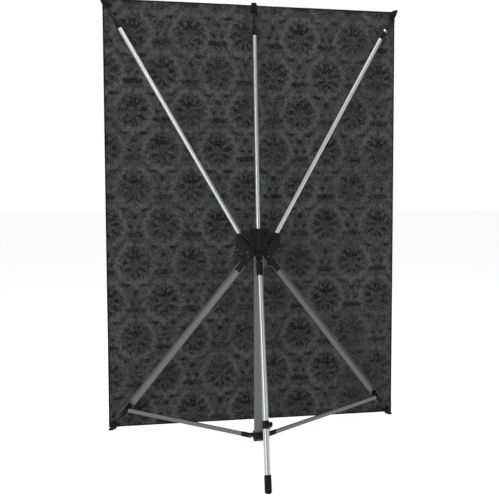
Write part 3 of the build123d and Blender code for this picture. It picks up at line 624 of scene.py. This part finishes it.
def hem_stitching(material):
    """Lock stitches along the hem's groove, on the back."""
    inset = STITCH_INSET
    points, faces = [], []
    runs = [
        (Vector((-HALF_WIDTH + inset, 0, CLOTH_LOW.z + inset)), Vector((1, 0, 0)), HALF_WIDTH),
        (Vector((-HALF_WIDTH + inset, 0, CLOTH_HIGH.z - inset)), Vector((1, 0, 0)), HALF_WIDTH),
        (Vector((-HALF_WIDTH + inset, 0, CLOTH_LOW.z + inset)), Vector((0, 0, 1)), HALF_HEIGHT),
        (Vector((HALF_WIDTH - inset, 0, CLOTH_LOW.z + inset)), Vector((0, 0, 1)), HALF_HEIGHT),
    ]
    for start, along, half_run in runs:
        side = Vector((along.z, 0, -along.x))
        for i in range(int((2 * half_run - 2 * inset) / STITCH_PITCH)):
            first = len(points)
            for end, height in STITCH_ARC:
                centre = start + along * (i * STITCH_PITCH + end * STITCH_LENGTH)
                for offset in (-STITCH_HALF, STITCH_HALF):
                    place = centre + side * offset
                    points.append(cloth_point(place.x, place.z, height * MM))
            faces += [(first + k, first + k + 1, first + k + 3, first + k + 2) for k in (0, 2, 4)]
    stitches = new_piece("hem_stitching", points, faces, material)
    solid = stitches.modifiers.new("thread", "SOLIDIFY")
    solid.thickness = STITCH_HALF
    return stitches


def rounded_square(half, radius, steps=6):
    """Outline of a square with rounded corners, as (x, z)."""
    outline = []
    for corner in range(4):
        turn = pi / 2 * corner
        cx = (half - radius) * (1 if corner in (0, 3) else -1)
        cz = (half - radius) * (1 if corner < 2 else -1)
        for i in range(steps + 1):
            angle = turn + pi / 2 * i / steps
            outline.append((cx + radius * cos(angle), cz + radius * sin(angle)))
    return outline


def patch_mesh(centre_x, centre_z, base):
    """Reinforcing patch: a crowned plate with a stitched groove inside its edge."""
    points, faces = [], []
    for inset, height in PATCH_PROFILE:
        for x, z in rounded_square(PATCH_SIDE / 2 - inset * MM, max(PATCH_ROUND - inset * MM, 1 * MM)):
            points.append((centre_x + x, base + height * PATCH_THICK, centre_z + z))
    count = len(points) // len(PATCH_PROFILE)
    faces += grid_faces(len(PATCH_PROFILE), count, wrap_columns=True)
    faces.append(tuple(range(len(points) - count, len(points))))
    faces.append(tuple(reversed(range(count))))
    return points, faces


def arch_rows(start, along, spans, base):
    """Sections of a sleeve that arches over a bar: (place along, half-width, bar radius)."""
    side = Vector((along.z, 0, -along.x)).normalized()
    points = []
    steps = 16
    for run, half, top_over in spans:
        centre = start + along * run
        top = top_over if top_over < 0.004 else centre.y - base + top_over
        for i in range(steps + 1):
            angle = pi * i / steps
            place = centre + side * (half * cos(angle))
            points.append((place.x, base + top * sin(angle) ** 0.7, place.z))
    return points, grid_faces(len(spans), steps + 1)


def sleeve(name, points, faces, material):
    piece = new_piece(name, points, faces, material)
    solid = piece.modifiers.new("thickness", "SOLIDIFY")
    solid.thickness = POCKET_THICK
    solid.offset = 1
    smooth = piece.modifiers.new("smooth", "SUBSURF")
    smooth.levels = 1
    smooth.render_levels = 1
    return piece


def tip_pocket(name, cap_node, axis, material):
    """Pocket at the cloth's top, open towards the hub, that an arm's tip sits in."""
    base = TAB_HIGH.y + 0.3 * MM
    along = -axis
    points = np.array([v.co for v in NODES[cap_node].data.vertices])
    far = points @ np.array(axis)
    tip = Vector(points[far > far.max() - 1 * MM].mean(axis=0))
    room = TIP_FLANGE_RADIUS + POCKET_ROOM
    spans = [
        (-4 * MM, 9 * MM, 1.5 * MM),
        (-2.5 * MM, 10.5 * MM, 3 * MM),
        (0.0, 12.5 * MM, 0.75 * room),
        (5 * MM, 13.5 * MM, room),
        (20 * MM, 14 * MM, room),
        (POCKET_LENGTH - 3 * MM, 14.5 * MM, room),
        (POCKET_LENGTH, 14.8 * MM, room + 0.6 * MM),
    ]
    rows, faces = arch_rows(tip, along, spans, base)
    return sleeve(name, rows, faces, material)


def leg_loop(name, foot_node, along, material):
    """Loop at a lower corner that the foot passes through."""
    points = np.array([v.co for v in NODES[foot_node].data.vertices])
    floor = points[points[:, 2] < 1 * MM].mean(axis=0)
    foot = Vector(floor)
    room = FOOT_RADIUS + POCKET_ROOM
    base = TAB_HIGH.y + 0.3 * MM
    middle = (LOOP_START + LOOP_END) / 2
    runs = (LOOP_START, LOOP_START + 2 * MM, middle, LOOP_END - 2 * MM, LOOP_END)
    spans = [(run, LOOP_HALF, room) for run in runs]
    rows, faces = arch_rows(foot, along, spans, base)
    return sleeve(name, rows, faces, material)


def pull_tab(name, side, material):
    """Folded tongue of webbing that sticks out of a top corner, to pull it off the tip."""
    corner = Vector((side * HALF_WIDTH, CLOTH_BACK + 1.2 * MM, CLOTH_HIGH.z))
    out = Vector((side * 0.8, 0, 0.35)).normalized()
    across = Vector((out.z, 0, -out.x))
    points = []
    spans = [
        (-16, 1.0, 0.0), (-6, 1.0, 0.4), (4, 0.95, 0.8), (10, 0.85, 1.0), (14, 0.7, 0.6), (15, 0.55, 0.0),
    ]
    columns = 7
    for run, share, height in spans:
        for i in range(columns):
            k = 2 * i / (columns - 1) - 1
            place = corner + out * (run * MM) + across * (PULL_HALF * share * k)
            points.append((place.x, place.y + height * MM, place.z))
    piece = new_piece(name, points, grid_faces(len(spans), columns), material)
    solid = piece.modifiers.new("thickness", "SOLIDIFY")
    solid.thickness = 2.0 * MM
    return piece


def joint_axis(name):
    return Vector(next(j["axis"] for j in frame["joints"] if j["name"] == name)).normalized()


def build_cloth(shared):
    sheet = cloth_sheet(shared["cloth"])
    hem = cloth_hem(shared["cloth"])
    stitches = hem_stitching(webbing("hem_thread", 0.05))
    black = shared["cloth_tab"]
    inset = PATCH_SIDE / 2 - 1 * MM
    for i, (ax, az) in enumerate(ANCHORS):
        x = ax - (inset if ax > 0 else -inset if ax < 0 else 0)
        z = az - (inset if az > CLOTH_CENTRE_Z else -inset)
        points, faces = patch_mesh(x, z, CLOTH_BACK)
        patch = new_piece(f"corner_patch_{i + 1}", points, faces, shared["cloth"])
        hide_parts("cloth_tabs")
    for side in ("left", "right", "centre"):
        axis = joint_axis(f"rod_{side}_slide")
        tip_pocket(f"tip_pocket_{side}", f"arm_{side}_tip_cap", axis, black)
    for side in ("left", "right"):
        axis = axis_of(f"leg_{side}_rod")
        axis = axis if axis.z > 0 else -axis
        leg_loop(f"foot_loop_{side}", f"leg_{side}_foot", axis, black)
        pull_tab(f"pull_tab_{side}", 1 if side == "left" else -1, black)


# ---- studio ----
def floor():
    """Pale floor that glows a little, so that it runs into the background."""
    mesh = bpy.data.meshes.new("studio_floor")
    half = FLOOR_HALF
    corners = [(-half, -half, 0), (half, -half, 0), (half, half, 0), (-half, half, 0)]
    mesh.from_pydata(corners, [], [(0, 1, 2, 3)])
    shader = Shader("studio_floor")
    shader.put("Base Color", shader.mix(shader.noise(0.6, 2.0), grey(0.56), grey(0.58)))
    shader.put("Roughness", shader.math("MULTIPLY_ADD", shader.noise(3.0), 0.1, 0.7))
    shader.put("Specular IOR Level", 0.1)
    shader.put("Emission Color", (1, 1, 1, 1))
    shader.put("Emission Strength", FLOOR_GLOW)
    mesh.materials.append(shader.material)
    piece = bpy.data.objects.new("studio_floor", mesh)
    bpy.context.scene.collection.objects.link(piece)


def background():
    """Plain pale backdrop; the light that it sends is dimmer than it looks, stronger from above."""
    world = bpy.data.worlds.new("studio")
    world.use_nodes = True
    nodes, links = world.node_tree.nodes, world.node_tree.links
    seen = nodes["Background"]
    seen.inputs["Color"].default_value = (1.0, 1.0, 1.0, 1)
    seen.inputs["Strength"].default_value = BACKDROP_LEVEL
    sent = nodes.new("ShaderNodeBackground")
    height = nodes.new("ShaderNodeSeparateXYZ")
    links.new(nodes.new("ShaderNodeTexCoord").outputs["Generated"], height.inputs[0])
    level = nodes.new("ShaderNodeMapRange")
    level.inputs["From Min"].default_value = -0.2
    level.inputs["To Min"].default_value = AMBIENT_LOW
    level.inputs["To Max"].default_value = AMBIENT_HIGH
    links.new(height.outputs["Z"], level.inputs["Value"])
    links.new(level.outputs["Result"], sent.inputs["Strength"])
    choose = nodes.new("ShaderNodeMixShader")
    links.new(nodes.new("ShaderNodeLightPath").outputs["Is Camera Ray"], choose.inputs[0])
    links.new(sent.outputs[0], choose.inputs[1])
    links.new(seen.outputs[0], choose.inputs[2])
    links.new(choose.outputs[0], nodes["World Output"].inputs["Surface"])
    bpy.context.scene.world = world


def lights():
    for name, place, size, power in AREA_LIGHTS:
        light = bpy.data.lights.new(name, "AREA")
        light.shape = "RECTANGLE"
        light.size, light.size_y = size
        light.energy = power
        lamp = bpy.data.objects.new(name, light)
        lamp.location = place
        lamp.rotation_mode = "QUATERNION"
        aim = Vector(LIGHT_AIM) - Vector(place)
        lamp.rotation_quaternion = aim.to_track_quat("-Z", "Y")
        bpy.context.scene.collection.objects.link(lamp)


def camera():
    data = bpy.data.cameras.new("camera")
    data.sensor_width = 36.0
    data.lens = CAMERA_LENS
    data.shift_x, data.shift_y = CAMERA_SHIFT
    eye = bpy.data.objects.new("camera", data)
    eye.location = (CAMERA_SIDE, CLOTH_BACK + CAMERA_BACK, CAMERA_HEIGHT)
    yaw, pitch = radians(CAMERA_YAW), radians(CAMERA_PITCH)
    aim = Vector((-sin(yaw) * cos(pitch), -cos(yaw) * cos(pitch), -sin(pitch)))
    eye.rotation_mode = "QUATERNION"
    eye.rotation_quaternion = aim.to_track_quat("-Z", "Y")
    bpy.context.scene.collection.objects.link(eye)
    bpy.context.scene.camera = eye
    bpy.context.scene.view_settings.view_transform = "Standard"


build_cloth(dress_nodes())
soften_edges()
floor()
background()
lights()
camera()
